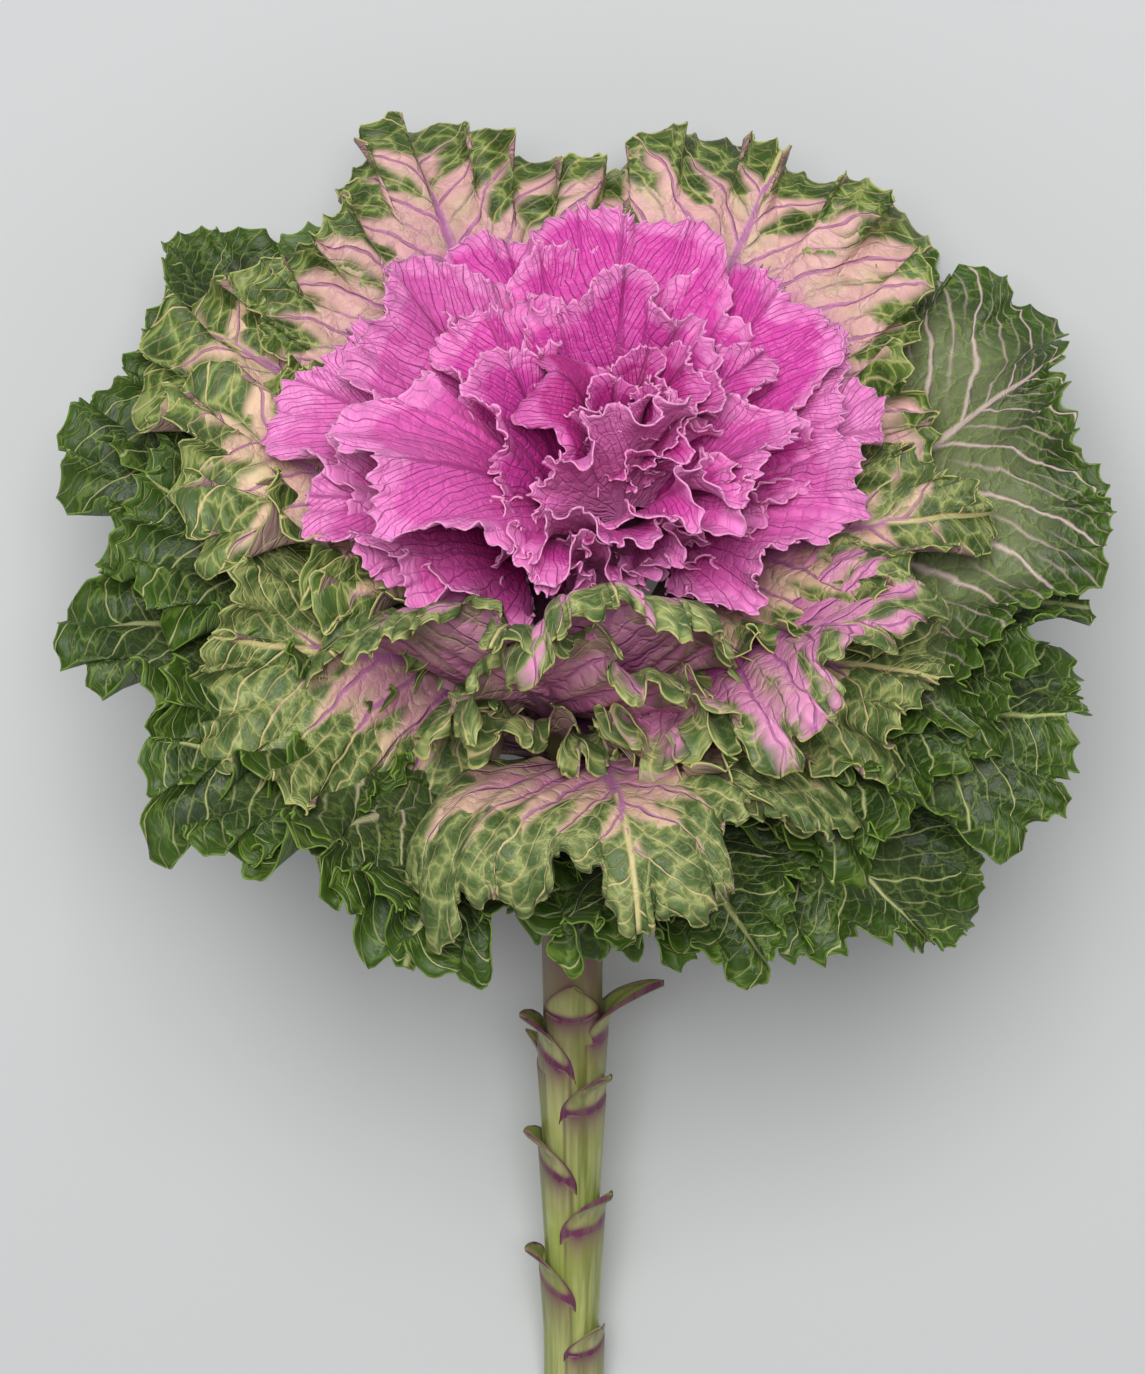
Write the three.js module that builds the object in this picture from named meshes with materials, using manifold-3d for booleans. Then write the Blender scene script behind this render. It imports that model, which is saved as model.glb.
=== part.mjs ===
// One head of ornamental kale on its cut stalk, laid down on a table.
// Millimetres, +Z up, the table is the plane z = 0.
//
// The plant is drawn in its own standing frame first: the stalk's axis is +Z, the head's middle is the
// origin, +X is its right and -Y its front. layDown() then tips it onto its back, so that the cut foot of
// the stalk and the tips of the back leaves touch the table.
import * as THREE from 'three';
import { mergeVertices } from 'three/addons/utils/BufferGeometryUtils.js';
import Module from 'manifold-3d';

// Stalk
const STALK_RADIUS = 7;
const STALK_FOOT = -200;
const STALK_TOP = -22;
const STALK_SIDES = 16;
const STALK_SLOPE = 20;         // of the stalk as it lies, in degrees
// How much thicker than its radius it is, and at which height.
const STALK_GIRTH = [[0, STALK_FOOT], [-0.4, -185], [0.2, -120], [0.6, -60], [1.5, STALK_TOP]];

// Core of the head, which the leaves grow from. It narrows upwards and leans to the right.
const CORE_LEAN = 0.2;
const CORE_SIDES = 14;
const CORE = {
  green: { from: -21.7, to: -2, foot: 9, crown: 9 },
  variegated: { from: -1.7, to: 17, foot: 9, crown: 8 },
  magenta: { from: 17.3, to: 48, foot: 8, crown: 4.5 },
  heart: { from: 48.3, to: 62, foot: 4, crown: 2.2 },
};

// Leaves
const SPREAD = 104;             // half angle of a whole fan, in degrees
const COVERED = 0.62;           // share of it that stands clear of the crowd, which these blades keep
const KNEE = 0.5;               // how far up the midrib's bend lies, as a share of root to tip
const TWIST = 20;               // blades at the left and right turn about their midribs, to face the front
const TWIST_END = 1 / 3;        // share of the midrib where that turn is whole
const CUP_FADE = 0.4;           // how much flatter a blade is at its tip
const GOLDEN_ANGLE = 2.39996;   // from one leaf to the next: it sets where the ruffles start
const MARGIN_THICKNESS = 0.8;
const ROOT_THICKNESS = 2.4;
const THINNING = [-0.3, 0.8];   // from which rho to which a blade thins out
const FOOT_CUT = 0.5;           // how far the fan draws in beside the petiole
const LOBE_DEPTH = 0.055;       // how far the outline swings in and out with the waves
const SLANT_DEPTH = 0.04;       // and how unlike its two sides are
const WAVE_DRIFT = 0.07;        // how uneven the waves' spacing is
const SWELL = 0.3;              // how uneven their height and the rim's roll are
const RUFFLE_START = 0.4;       // share of the fan that stays calm
const RUFFLE_GROWTH = 1.8;      // how steeply the ruffles then grow towards the margin
const ROLL_START = 0.6;         // share of the fan where a rolled rim starts to bend back
const CLEARANCE = 0.4;          // kept between leaves of two colours
const CORE_CLEARANCE = 0.2;     // and between the core's parts
const PRESSED_THICKNESS = 0.9;  // of a leaf where it lies flat on the table
const FINER_ROWS = [-1, 0.45, 0.8, 1];
const NEARLY_FLAT = 1e-7;       // added to a bend, so that a flat leaf doesn't divide by nothing
const WELD = 1e-3;              // points closer than this are one

// What the leaves of one colour share: petiole is its share of the length, halfWidth half the petiole's
// width, ruffle the waves' height, rows and columns the blade's grid.
const WHORL = {
  green: { petiole: 0.34, halfWidth: 4, rootRadius: 6, ruffle: 6, rows: [-1, 0.45, 1], columns: 9 },
  variegated: { petiole: 0.28, halfWidth: 4, rootRadius: 6, ruffle: 6, rows: [-1, 0.45, 1], columns: 8 },
  magenta: { petiole: 0.26, halfWidth: 3.5, rootRadius: 5, ruffle: 4, rows: [-1, 0.45, 1], columns: 7 },
  heart: { petiole: 0.2, halfWidth: 2.5, rootRadius: 1.8, ruffle: 2, rows: [-1, 0.5, 1], columns: 5 },
};

// One row for each leaf: azimuth from the right, how far out its tip lies, the heights of its tip and its
// root, the angle at which it leaves the core, breadth, cupping, waves round its margin, and its own habits.
const GREEN_LEAVES = [
  [17, 117, 68, -8, 40, 0.7, 0.5, 4.5],
  [357, 111, 30, -10, 35, 0.6, 0.2, 4.5],
  [345, 113, 5, -14, 30, 0.56, -0.3, 5],
  [325, 95, -31, -16, 25, 0.6, 0.2, 5],
  [299, 82, -20, -16, 15, 0.6, -0.3, 4.5],
  [282, 76, -17, -18, 15, 0.55, -0.2, 4.5],
  [244, 80, -16, -16, 18, 0.55, 0.1, 5],
  [225, 88, -3, -18, 20, 0.55, -0.2, 4.5],
  [204, 102, 7, -14, 26, 0.6, -0.3, 5],
  [183, 110, 24, -12, 32, 0.66, 0.2, 5],
  [174, 98, 44, -6, 42, 0.52, -0.2, 4.5],
  [161, 111, 52, -10, 36, 0.42, 0.3, 5],
  [145, 107, 76, -10, 38, 0.58, 0.3, 5],
  [115, 117, 67, -14, 14, 0.55, 0.1, 5],
  [89, 109, 71, -12, 14, 0.48, 0.1, 5],
  [59, 122, 60, -14, 14, 0.55, 0.1, 5],
  [38, 106, 60, -15, 26, 0.5, 0.2, 5],
];
const VARIEGATED_LEAVES = [
  [115, 86, 100, 6, 58, 0.62, 0.6, 5],
  [58, 90, 95, 4, 56, 0.66, 0.5, 5],
  [153, 94, 72, 4, 52, 0.48, 1, 5],
  [171, 91, 60, 8, 56, 0.45, 1.1, 6],
  [198, 86, 27, -2, 34, 0.8, -0.3, 4.5, { twist: -30 }],
  [256, 48, 60, -1, 22, 0.95, 0.8, 6, { roll: 110, rollStart: 0.75 }],
  [279, 50, 69, 2, 22, 0.58, 0.9, 5, { roll: 100, rollStart: 0.75 }],
  [328, 76, 46, 8, 25, 0.75, 0.9, 6, { roll: 60, rollStart: 0.75 }],
  [355, 88, 50, 6, 55, 0.5, 0.8, 6],
  [337, 89, 25, 2, 30, 0.5, 0.1, 6, { twist: 15 }],
  [279, 84, 22, -2, 12, 1.1, 0.5, 3.5, { petiole: 0.36, roll: 80, rollStart: 0.5 }],
  [86, 84, 83, 3, 52, 0.45, 0.5, 5],
  [305, 74, 10, 0, 18, 0.42, 0.4, 6, { petiole: 0.38 }],
  [252, 44, 28, -1, 5, 0.7, 0.8, 5, { roll: 100, rollStart: 0.7 }],
];
const MAGENTA_LEAVES = [
  [78, 51, 92, 26, 72, 0.6, 1, 6],
  [107, 48, 86, 24, 70, 0.55, 0.8, 6],
  [140, 52, 85, 24, 70, 0.55, 0.8, 6],
  [164, 67, 68, 22, 62, 0.6, 0.8, 6],
  [192, 58, 57, 21, 62, 0.6, 0.5, 6],
  [210, 52, 71, 30, 85, 0.62, 0.3, 6],
  [160, 17, 82, 34, 80, 0.6, 1.2, 6],
  [61, 23, 93, 34, 82, 0.6, 1, 6],
  [130, 34, 81, 30, 75, 0.55, 1, 6],
  [308, 25, 82, 36, 88, 0.62, 1, 6],
  [308, 42, 69, 30, 80, 0.55, 0.4, 6],
  [248, 38, 60, 26, 78, 0.55, 0.6, 6],
  [7, 68, 63, 24, 66, 0.6, 0.6, 6],
  [36, 58, 81, 26, 72, 0.6, 0.8, 6],
  [20, 63, 71, 24, 70, 0.55, 0.8, 6],
  [19, 43, 76, 36, 82, 0.55, 1, 6],
  [341, 50, 72, 30, 78, 0.55, 0.5, 6],
  [281, 42, 65, 26, 80, 0.55, 0.7, 6],
];
const HEART_LEAVES = [
  [161, 6, 83, 50, 85, 0.55, 1.2, 5, { roll: 60 }],
  [14, 8, 78, 54, 88, 0.55, 1.4, 5],
  [26, 18, 81, 54, 88, 0.55, 1.4, 5],
  [9, 27, 81, 54, 88, 0.55, 1.4, 5],
  [349, 31, 76, 52, 88, 0.55, 1.4, 5],
  [330, 28, 71, 50, 88, 0.55, 1.2, 5],
  [292, 15, 77, 50, 88, 0.55, 1.2, 5],
  [353, 16, 77, 58, 88, 0.5, 1.6, 4],
  [9, 19, 76, 58, 88, 0.5, 1.6, 4],
];

// Stubs of shed leaf stalks: azimuth, height of the notch, length, width, and how far they lean out.
const STUBS = [
  [214, -98, 15, 13, 34],
  [165, -104, 8, 8, 40],
  [268, -86, 10, 13, 12],
  [345, -94, 20, 13, 50],
  [307, -113, 15, 13, 36],
  [216, -131, 14, 13, 34],
  [308, -149, 16, 13, 34],
  [214, -167, 14, 13, 32],
  [310, -187, 10, 12, 30],
];
const STUB_DEPTH = 3;
const STUB_ROOTING = 1.6;       // how deep a stub's middle line starts inside the stalk
const STUB_WRAP = 0.055;        // how much its sides bend round the stalk
const STUB_LAG = 0.6;           // how much less its height follows the bow than its reach does
// A stub's crescent section, across and outwards, and its stations: share of the length, of the width and of
// the depth.
const STUB_SECTION = [
  [-1, 0], [-0.75, 0.55], [0, 0.8], [0.75, 0.55], [1, 0], [0.6, -0.2], [0, -0.1], [-0.6, -0.2],
];
const STUB_STATIONS = [[-0.9, 0.2, 0.35], [-0.35, 0.8, 0.9], [0.2, 1, 1], [0.65, 0.8, 0.7], [1, 0.25, 0.4]];

const wasm = await Module();
wasm.setup();

const radians = THREE.MathUtils.degToRad;
const clamp = THREE.MathUtils.clamp;
const lerp = THREE.MathUtils.lerp;
const inverseLerp = THREE.MathUtils.inverseLerp;

/** The turn that lays the standing plant on its back, with the foot's lower rim at z = 0. */
const SLOPE = radians(STALK_SLOPE);
const LIFT = STALK_RADIUS * Math.cos(SLOPE) - STALK_FOOT * Math.sin(SLOPE);
const LAID = new THREE.Matrix4().makeRotationX(SLOPE - Math.PI / 2).setPosition(0, 0, LIFT);

/** Moves a point of the standing plant to where it lies. */
function layDown(point) {
  return point.applyMatrix4(LAID);
}

/** The core's middle at a height: straight up to the lowest leaves, then leaning to the right. */
function coreMiddle(height) {
  return new THREE.Vector3(CORE_LEAN * Math.max(0, height), 0, height);
}

/** Reads one row of a leaf table into named values, with its number in the whole plant. */
function readLeaf(row, number, whorl) {
  const [azimuth, reach, tipHeight, rootHeight, rise, breadth, cup, waves, own = {}] = row;
  const habit = { ...whorl, roll: 0, rollStart: ROLL_START, twist: 0, ...own };
  const middle = coreMiddle(rootHeight);
  const turn = radians(azimuth);
  const tip = new THREE.Vector3(reach * Math.cos(turn), reach * Math.sin(turn), tipHeight);
  const heading = Math.atan2(tip.y - middle.y, tip.x - middle.x);
  const out = new THREE.Vector3(Math.cos(heading), Math.sin(heading), 0);
  const root = middle.clone().addScaledVector(out, whorl.rootRadius);
  const climb = new THREE.Vector3(0, 0, Math.sin(radians(rise)));
  climb.addScaledVector(out, Math.cos(radians(rise)));
  const knee = root.clone().addScaledVector(climb, KNEE * root.distanceTo(tip));
  const midrib = new THREE.QuadraticBezierCurve3(root, knee, tip);
  const across = new THREE.Vector3(-out.y, out.x, 0);
  const turned = radians(TWIST * Math.cos(heading) + habit.twist);
  const phase = GOLDEN_ANGLE * number;
  const finer = habit.rollStart > ROLL_START || layDown(tip.clone()).z < ROOT_THICKNESS;
  const rows = finer ? FINER_ROWS : habit.rows;
  return { ...habit, rows, midrib, across, turned, length: midrib.getLength(), breadth, cup, waves, phase };
}

/**
 * One point of a leaf's middle surface. rho runs from -1 at the root over 0, where the petiole ends, to 1 at
 * the margin; side runs from -1 to 1 round the fan. grow widens the outline by so many millimetres. The bare
 * numbers inside the sines only set where along the margin a wave falls.
 */
function leafPoint(leaf, rho, side, grow = 0) {
  const { length, phase } = leaf;
  const fan = clamp(rho, 0, 1);
  const angle = side * radians(SPREAD);
  const wave = Math.PI * leaf.waves * (side + WAVE_DRIFT * Math.sin(3 * side + phase)) + phase;
  const oval = (1 - FOOT_CUT * side ** 6) / Math.hypot(Math.sin(angle) / leaf.breadth, Math.cos(angle));
  const lobes = 1 + LOBE_DEPTH * Math.cos(wave + 1.2) + SLANT_DEPTH * Math.sin(4 * side + 2 * phase);
  const radius = (1 - leaf.petiole) * length * oval * lobes + grow;

  const start = leaf.rollStart;
  const roll = radians(leaf.roll) * (1 + SWELL * Math.sin(2.3 * side + 2 * phase)) + NEARLY_FLAT;
  const rolled = clamp((fan - start) / (1 - start), 0, 1) * roll;
  const along = Math.min(fan, start) + (1 - start) * Math.sin(rolled) / roll;
  const back = -(1 - start) * (1 - Math.cos(rolled)) / roll;
  const rim = clamp((fan - RUFFLE_START) / (1 - RUFFLE_START), 0, 1) ** RUFFLE_GROWTH;
  const ruffle = leaf.ruffle * (1 + SWELL * Math.sin(2.9 * side + 3 * phase)) * rim;
  const lift = back * radius + ruffle * Math.sin(wave);

  const width = along * radius * Math.sin(angle) + (leaf.halfWidth + grow) * side * (1 - fan) ** 2;
  const reach = leaf.petiole * length * (1 + Math.min(rho, 0)) + along * radius * Math.cos(angle);
  const share = reach / length;
  const onRib = clamp(share, 0, 1);
  const middle = leaf.midrib.getPoint(onRib);
  const tangent = leaf.midrib.getTangent(onRib);
  middle.addScaledVector(tangent, (share - onRib) * length);
  const upward = new THREE.Vector3().crossVectors(tangent, leaf.across).normalize();
  const sideways = new THREE.Vector3().crossVectors(upward, tangent);
  const cupping = leaf.cup / length * (1 - CUP_FADE * onRib) + NEARLY_FLAT;
  const bend = cupping * width;
  const turn = leaf.turned * Math.min(1, onRib / TWIST_END);
  sideways.applyAxisAngle(tangent, turn);
  upward.applyAxisAngle(tangent, turn);
  middle.addScaledVector(sideways, Math.sin(bend) / cupping - lift * Math.sin(bend));
  middle.addScaledVector(upward, (1 - Math.cos(bend)) / cupping + lift * Math.cos(bend));
  return middle;
}

/** The triangles of a grid of points, three numbers each. */
function gridTriangles(rows, columns) {
  const triangles = [];
  for (let row = 0; row < rows - 1; row += 1) {
    for (let column = 0; column < columns - 1; column += 1) {
      const corner = row * columns + column;
      const next = corner + columns;
      triangles.push(corner, next, next + 1, corner, next + 1, corner + 1);
    }
  }
  return triangles;
}

/** The grid's border, once round, in the sense of its triangles. */
function gridBorder(rows, columns) {
  const left = Array.from({ length: rows - 1 }, (_, row) => row * columns);
  const tip = Array.from({ length: columns - 1 }, (_, column) => (rows - 1) * columns + column);
  const right = left.map((corner) => corner + 2 * columns - 1).reverse();
  const foot = tip.map((corner) => corner - (rows - 1) * columns + 1).reverse();
  return [...left, ...tip, ...right, ...foot];
}

/** A closed solid from points and triangles. */
function toSolid(points, triangles) {
  const vertProperties = new Float32Array(points.flatMap((point) => point.toArray()));
  const triVerts = new Uint32Array(triangles);
  return new wasm.Manifold(new wasm.Mesh({ numProp: 3, vertProperties, triVerts }));
}

/** A leaf blade: its middle surface thickened both ways, and pressed flat where it meets the table. */
function leafSolid(leaf, grow = 0) {
  const { rows, columns } = leaf;
  const points = [];
  const halves = [];
  for (const rho of rows) {
    const thinned = clamp(inverseLerp(...THINNING, rho), 0, 1);
    const thickness = lerp(ROOT_THICKNESS, MARGIN_THICKNESS, thinned);
    for (let column = 0; column < columns; column += 1) {
      points.push(layDown(leafPoint(leaf, rho, COVERED * (2 * column / (columns - 1) - 1), grow)));
      halves.push(thickness / 2 + grow);
    }
  }
  const triangles = gridTriangles(rows.length, columns);
  const sheet = new THREE.BufferGeometry().setFromPoints(points).setIndex(triangles);
  sheet.computeVertexNormals();
  const normals = sheet.attributes.normal;
  const upper = [];
  const lower = [];
  points.forEach((point, index) => {
    const normal = new THREE.Vector3().fromBufferAttribute(normals, index);
    upper.push(point.clone().addScaledVector(normal, halves[index]));
    lower.push(point.clone().addScaledVector(normal, -halves[index]));
    pressOnTable(upper[index], lower[index]);
  });
  const count = points.length;
  const closed = [...triangles];
  for (let index = 0; index < triangles.length; index += 3) {
    closed.push(triangles[index] + count, triangles[index + 2] + count, triangles[index + 1] + count);
  }
  const border = gridBorder(rows.length, columns);
  border.forEach((here, index) => {
    const next = border[(index + 1) % border.length];
    closed.push(here, here + count, next, next, here + count, next + count);
  });
  return toSolid([...upper, ...lower], closed);
}

/** Where the blade would reach below the table, its lower face lies flat on it. */
function pressOnTable(one, other) {
  const [low, high] = one.z < other.z ? [one, other] : [other, one];
  if (low.z < 0) {
    low.z = 0;
    high.z = Math.max(high.z, PRESSED_THICKNESS);
  }
}

/** A round closed profile on the axis, leaning with the core, as a solid. */
function turnedSolid(profile, sides) {
  const outline = profile.map(([radius, height]) => new THREE.Vector2(radius, height));
  const lathe = new THREE.LatheGeometry(outline, sides);
  lathe.rotateX(Math.PI / 2);
  lathe.deleteAttribute('normal');
  lathe.deleteAttribute('uv');
  const merged = mergeVertices(lathe, WELD);
  const points = [];
  const vertex = new THREE.Vector3();
  for (let index = 0; index < merged.attributes.position.count; index += 1) {
    vertex.fromBufferAttribute(merged.attributes.position, index);
    points.push(layDown(vertex.clone().add(new THREE.Vector3(coreMiddle(vertex.z).x, 0, 0))));
  }
  const triangles = Array.from(merged.index.array);
  const kept = [];
  for (let index = 0; index < triangles.length; index += 3) {
    const [a, b, c] = triangles.slice(index, index + 3);
    if (a !== b && b !== c && c !== a) kept.push(a, b, c);
  }
  return toSolid(points, kept);
}

/** The part of the head's core that one colour of leaves grows from. */
function coreSolid({ from, to, foot, crown }, grow = 0) {
  const profile = [[0, from - grow], [foot + grow, from - grow], [crown + grow, to + grow], [0, to + grow]];
  return turnedSolid(profile, CORE_SIDES);
}

/** A stub of a shed leaf: a pointed scale that rises out of the stalk from a notch and leans away. */
function stubSolid([azimuth, notch, length, width, lean]) {
  const turn = radians(azimuth);
  const out = new THREE.Vector3(Math.cos(turn), Math.sin(turn), 0);
  const across = new THREE.Vector3(-out.y, out.x, 0);
  const points = [];
  for (const [share, broad, deep] of STUB_STATIONS) {
    const bow = radians(lean) * Math.max(0, share);
    const rise = share * length * Math.cos(bow * STUB_LAG);
    const stand = STALK_RADIUS - STUB_ROOTING + Math.max(0, share) * length * Math.sin(bow);
    for (const [x, y] of STUB_SECTION) {
      const wrap = x * width / 2 * broad;
      const point = new THREE.Vector3(0, 0, notch + rise);
      const sunk = STUB_WRAP * wrap ** 2 * clamp(1 - share, 0, 1);
      point.addScaledVector(out, stand - sunk + y * STUB_DEPTH * deep);
      point.addScaledVector(across, wrap);
      points.push(layDown(point));
    }
  }
  const around = STUB_SECTION.length;
  const last = (STUB_STATIONS.length - 1) * around;
  const triangles = [];
  for (let ring = 0; ring < STUB_STATIONS.length - 1; ring += 1) {
    for (let index = 0; index < around; index += 1) {
      const here = ring * around + index;
      const next = ring * around + (index + 1) % around;
      triangles.push(here, next, here + around, next, next + around, here + around);
    }
  }
  for (let index = 1; index < around - 1; index += 1) {
    triangles.push(0, index + 1, index);
    triangles.push(last, last + index, last + index + 1);
  }
  return toSolid(points, triangles);
}

/** The stalk: slightly thicker towards the head, with the stubs fused on and a plain cut foot. */
function stalkSolid() {
  const side = STALK_GIRTH.map(([more, height]) => [STALK_RADIUS + more, height]);
  const profile = [[0, STALK_FOOT], ...side, [0, STALK_TOP]];
  return joined([turnedSolid(profile, STALK_SIDES), ...STUBS.map((stub) => stubSolid(stub))]);
}

/** All the solids as one. */
function joined(solids) {
  return wasm.Manifold.union(solids);
}

/** The largest body of a solid: loose scraps are dropped. */
function largestBody(solid) {
  const bodies = solid.decompose();
  return bodies.reduce((best, body) => (body.volume() > best.volume() ? body : best));
}

/** A named mesh from a solid. */
function toMesh(name, solid, colour, roughness) {
  const { vertProperties, triVerts } = largestBody(solid).getMesh();
  const geometry = new THREE.BufferGeometry();
  geometry.setAttribute('position', new THREE.BufferAttribute(vertProperties, 3));
  geometry.setIndex(new THREE.BufferAttribute(triVerts, 1));
  geometry.computeVertexNormals();
  const material = new THREE.MeshStandardMaterial({ color: colour, roughness, metalness: 0 });
  const mesh = new THREE.Mesh(geometry, material);
  mesh.name = name;
  return mesh;
}

/** The leaves and the core of one colour: whole, and grown by the clearance to cut its neighbours. */
function makeWhorl(kind, table, firstNumber) {
  const leaves = table.map((row, index) => readLeaf(row, firstNumber + index, WHORL[kind]));
  const whole = joined([coreSolid(CORE[kind]), ...leaves.map((leaf) => leafSolid(leaf))]);
  const grownCore = coreSolid(CORE[kind], CORE_CLEARANCE);
  const grown = joined([whole, grownCore, ...leaves.map((leaf) => leafSolid(leaf, CLEARANCE))]);
  return { whole, grown };
}

const green = makeWhorl('green', GREEN_LEAVES, 1);
const variegated = makeWhorl('variegated', VARIEGATED_LEAVES, 18);
const magenta = makeWhorl('magenta', MAGENTA_LEAVES, 32);
const heart = makeWhorl('heart', HEART_LEAVES, 50);
const stalk = stalkSolid();

const heartAlone = heart.whole.subtract(magenta.grown);
const variegatedAlone = variegated.whole.subtract(magenta.grown).subtract(heart.grown);
const greenAlone = green.whole.subtract(variegated.grown).subtract(magenta.grown);

const kale = new THREE.Group();
kale.add(toMesh('stem', stalk, '#a9b56e', 0.5));
kale.add(toMesh('magenta_leaves', magenta.whole, '#c2359a', 0.55));
kale.add(toMesh('heart_leaves', heartAlone, '#96186a', 0.55));
kale.add(toMesh('variegated_leaves', variegatedAlone, '#c79ab4', 0.6));
kale.add(toMesh('green_leaves', greenAlone, '#3c6a2c', 0.6));

// The origin is under the middle of the plant, on the table.
const middle = new THREE.Box3().setFromObject(kale).getCenter(new THREE.Vector3());
kale.position.set(-middle.x, -middle.y, 0);

export default kale;
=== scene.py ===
# %% [markdown]
# # One head of ornamental kale, lying on a table
#
# A cut kale is a thick stalk with a wide rosette of ruffled leaves. Here every leaf is a surface worked out
# from two numbers, how far along it a point lies and how far round its fan, so one formula with a row of
# sizes for each leaf makes the whole head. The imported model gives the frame, the size and the place.

# %% Load the frame
from math import atan2, cos, pi, radians, sin
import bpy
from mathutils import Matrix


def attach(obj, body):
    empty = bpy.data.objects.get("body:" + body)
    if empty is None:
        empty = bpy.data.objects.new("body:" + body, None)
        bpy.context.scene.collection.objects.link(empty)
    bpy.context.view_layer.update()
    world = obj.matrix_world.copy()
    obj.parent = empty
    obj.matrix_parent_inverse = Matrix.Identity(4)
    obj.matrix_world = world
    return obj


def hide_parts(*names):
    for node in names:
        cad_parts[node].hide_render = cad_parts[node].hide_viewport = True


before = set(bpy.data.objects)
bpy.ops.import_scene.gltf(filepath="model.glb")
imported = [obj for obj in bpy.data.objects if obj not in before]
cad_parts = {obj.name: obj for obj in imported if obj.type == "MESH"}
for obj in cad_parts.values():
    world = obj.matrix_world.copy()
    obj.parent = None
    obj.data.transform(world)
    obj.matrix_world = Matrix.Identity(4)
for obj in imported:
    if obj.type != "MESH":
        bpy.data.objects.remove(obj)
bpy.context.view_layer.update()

from types import SimpleNamespace

import bpy
import numpy as np
from mathutils import Matrix, Vector

MM = 0.001

# %% [markdown]
# The plant is drawn standing up, because leaves are easiest to place round an upright stalk: +Z runs up the
# stalk, the front is -Y and the head's middle is the origin. Then it is tipped onto its back, as it lies.
# The tipping is one fixed turn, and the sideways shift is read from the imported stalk's cut foot.

# %% Tip the standing plant onto its back
STALK_RADIUS = 7.0
STALK_FOOT = -200.0
STALK_SLOPE = radians(20)
LIFT = STALK_RADIUS * cos(STALK_SLOPE) - STALK_FOOT * sin(STALK_SLOPE)
SAME_LEVEL = 0.05


def tip_over(points):
    """In the row frame, still in millimetres: y and z turn by the stalk's slope, and z is lifted."""
    x, y, z = points[..., 0], points[..., 1], points[..., 2]
    along = sin(STALK_SLOPE) * y + cos(STALK_SLOPE) * z
    height = -cos(STALK_SLOPE) * y + sin(STALK_SLOPE) * z + LIFT
    return np.stack([x, along, height], axis=-1)


stem_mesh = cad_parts["stem"].data
stem_points = np.empty(len(stem_mesh.vertices) * 3)
stem_mesh.vertices.foreach_get("co", stem_points)
stem_points = stem_points.reshape(-1, 3) / MM
stalk_way = tip_over(np.array([0.0, 0, 1])) - tip_over(np.zeros(3))
depth = stem_points @ stalk_way
foot_ring = stem_points[depth < depth.min() + SAME_LEVEL]
foot_middle = (foot_ring.min(axis=0) + foot_ring.max(axis=0)) / 2
SHIFT = (foot_middle - tip_over(np.array([0.0, 0, STALK_FOOT]))) * [1, 1, 0]
print("the packed plant is shifted by", SHIFT.round(2), "mm")


def to_row(points):
    """From the standing plant in millimetres to the row frame in metres."""
    return (tip_over(points) + SHIFT) * MM


# %% [markdown]
# The photograph looks at the standing plant from the front and 34 degrees above. Tipped over with the plant,
# that camera looks steeply down at the table. It is far away with a long lens, so that the head isn't
# stretched. Lens and frame follow from one scale: how many millimetres of the plant one pixel covers.

# %% Camera at the photograph's viewing angle
VIEW_HEIGHT = radians(34)
VIEW_DISTANCE = 1000.0
MM_PER_PIXEL = 0.217
FRAME_HEIGHT = 1374
SENSOR = 36

aim = Vector(to_row(np.zeros(3)))
eye = Vector(to_row(np.array([0, -cos(VIEW_HEIGHT), sin(VIEW_HEIGHT)]) * VIEW_DISTANCE))
back = (eye - aim).normalized()
right = Vector((1, 0, 0))
up = back.cross(right)
camera_data = bpy.data.cameras.new("camera")
camera_data.sensor_width = SENSOR
camera_data.lens = VIEW_DISTANCE / MM_PER_PIXEL * SENSOR / FRAME_HEIGHT
camera_data.clip_end = 20
camera = bpy.data.objects.new("camera", camera_data)
camera.matrix_world = Matrix.Translation(eye) @ Matrix((right, up, back)).transposed().to_4x4()
bpy.context.scene.collection.objects.link(camera)
bpy.context.scene.camera = camera
print("camera", round(VIEW_DISTANCE), "mm away with a", round(camera_data.lens), "mm lens")

# %% [markdown]
# Two helpers turn arrays into pieces. A leaf is a thin sheet, and a sheet with two faces and no edge isn't
# closed, so the helper adds the rim strip that joins the faces. Each point also carries what the materials
# need: its place on the flattened leaf, its distance from the margin, and which face it is on.

# %% Meshes from arrays
SHORTEST = 1e-9


def make_piece(name, points, quads, node, uv=None, marks=None):
    """A piece from points in metres and four-sided faces: it rides on the plant and stands for a node."""
    mesh = bpy.data.meshes.new(name)
    mesh.from_pydata(points.reshape(-1, 3).tolist(), [], quads)
    if uv is not None:
        corner_points = np.empty(len(mesh.loops), dtype=np.int32)
        mesh.loops.foreach_get("vertex_index", corner_points)
        layer = mesh.uv_layers.new(name="leaf")
        layer.data.foreach_set("uv", uv.reshape(-1, 2)[corner_points].astype(np.float32).ravel())
    for mark, values in (marks or {}).items():
        attribute = mesh.attributes.new(mark, "FLOAT", "POINT")
        attribute.data.foreach_set("value", values.astype(np.float32).ravel())
    mesh.polygons.foreach_set("use_smooth", np.full(len(mesh.polygons), True))
    mesh.update()
    piece = bpy.data.objects.new(name, mesh)
    bpy.context.scene.collection.objects.link(piece)
    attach(piece, "root")
    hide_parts(node)
    return piece


def grid_quads(rows, columns):
    """The four-sided faces of a grid of points, row by row."""
    corner = np.arange(rows * columns).reshape(rows, columns)
    return np.stack([corner[:-1, :-1], corner[1:, :-1], corner[1:, 1:], corner[:-1, 1:]], -1).reshape(-1, 4)


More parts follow.
